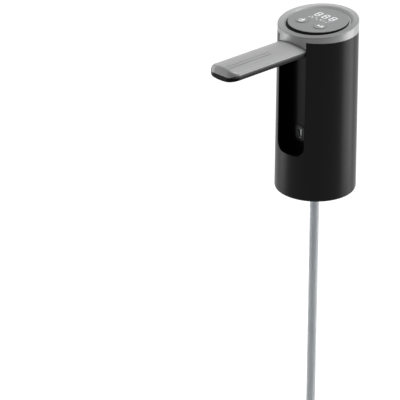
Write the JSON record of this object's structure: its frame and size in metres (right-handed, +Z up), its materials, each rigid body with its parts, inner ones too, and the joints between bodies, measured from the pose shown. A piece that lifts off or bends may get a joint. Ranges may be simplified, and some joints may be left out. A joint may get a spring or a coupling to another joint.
{
  "type": "electric water jug pump",
  "caption": "Battery pump that sits on a jug neck: tall round body, sloping key panel, fold-down spout and a hanging suction hose.",
  "frame": {"origin": "on the axis of the neck socket, in the plane of the foot", "axes": "+Z up along the socket axis, spout towards -Y, keys left and right along X"},
  "size_m": [0.071, 0.152, 0.5442],
  "materials": {
    "shell_black": "satin black",
    "cap_grey": "satin grey",
    "panel_grey": "satin grey",
    "key_grey": "satin grey",
    "window_white": "lit white",
    "gasket_black": "matte black",
    "bay_black": "gloss black",
    "bezel_dark": "satin",
    "steel": "bright",
    "board_green": "solder mask",
    "lead_red": "insulation",
    "frame_dark": "moulded",
    "cup_dark": "moulded",
    "silicone": "translucent silicone",
    "pump_dark": "moulded",
    "gear_ivory": "acetal",
    "rotor_copper": "wound core",
    "can_metal": "plated",
    "magnet_dark": "ferrite",
    "bush_bronze": "sintered",
    "cell_blue": "shrink sleeve",
    "chip_black": "moulded",
    "ribbon_amber": "film",
    "spout_black": "satin black",
    "spout_grey": "satin grey",
    "nozzle_dark": "moulded",
    "foot_white": "moulded"
  },
  "bodies": {
    "housing": {"body_shell": "shell_black", "top_ring": "cap_grey", "touch_panel": "panel_grey", "panel_gasket": "gasket_black", "digit_windows": "window_white", "display_module": "foot_white", "display_board": "board_green", "board_screws": "steel", "key_switches": "chip_black", "cap_screws": "steel", "spout_bay": "bay_black", "bay_screws": "steel", "port_bezel": "bezel_dark", "charge_socket": "steel", "charge_board": "board_green", "charge_leads": "lead_red", "main_chassis": "frame_dark", "neck_cup": "cup_dark", "neck_sleeve": "silicone", "rim_gasket": "silicone", "base_screws": "steel", "pump_cover": "pump_dark", "pump_gasket": "gasket_black", "pump_housing": "pump_dark", "pump_screws": "steel", "shaft_seal": "gasket_black", "idler_pin": "steel", "motor_can": "can_metal", "motor_magnets": "magnet_dark", "motor_bushes": "bush_bronze", "motor_end_cap": "chip_black", "motor_leads": "lead_red", "battery_cell": "cell_blue", "battery_cradle": "frame_dark", "battery_leads": "lead_red", "control_board": "board_green", "board_parts": "chip_black", "display_ribbon": "ribbon_amber", "outlet_tube": "silicone", "hinge_manifold": "pump_dark", "hinge_tube": "steel", "suction_hose": "silicone", "hose_foot": "foot_white"},
    "spout": {"spout_cover": "spout_grey", "spout_channel": "spout_black", "spout_nozzle": "nozzle_dark", "hinge_plugs": "spout_black", "hinge_seals": "gasket_black"},
    "left_key": {"left_key": "key_grey"},
    "right_key": {"right_key": "key_grey"},
    "motor_rotor": {"motor_shaft": "steel", "motor_rotor": "rotor_copper", "drive_gear": "gear_ivory"},
    "idler": {"idler_gear": "gear_ivory"}
  },
  "joints": [
    {"name": "spout_fold", "type": "hinge", "parent": "housing", "child": "spout", "pos_m": [0, -0.0255, 0.1341], "axis": [1, 0, 0], "range_deg": [0, 91.1]},
    {"name": "left_key_press", "type": "slide", "parent": "housing", "child": "left_key", "axis": [0, 0.0454, -0.999], "range_m": [0, 0.0005], "stiffness_N_per_m": 800, "springref_m": -0.0003},
    {"name": "right_key_press", "type": "slide", "parent": "housing", "child": "right_key", "axis": [0, 0.0454, -0.999], "range_m": [0, 0.0005], "stiffness_N_per_m": 800, "springref_m": -0.0003},
    {"name": "motor_spin", "type": "hinge", "parent": "housing", "child": "motor_rotor", "pos_m": [0.0052, 0.0045, 0.05], "axis": [0, 0, 1], "continuous": true},
    {"name": "idler_spin", "type": "hinge", "parent": "housing", "child": "idler", "pos_m": [-0.0052, 0.0045, 0.047], "axis": [0, 0, 1], "continuous": true}
  ],
  "couplings": [
    {"joint": "idler_spin", "follows": "motor_spin", "ratio": -1}
  ]
}
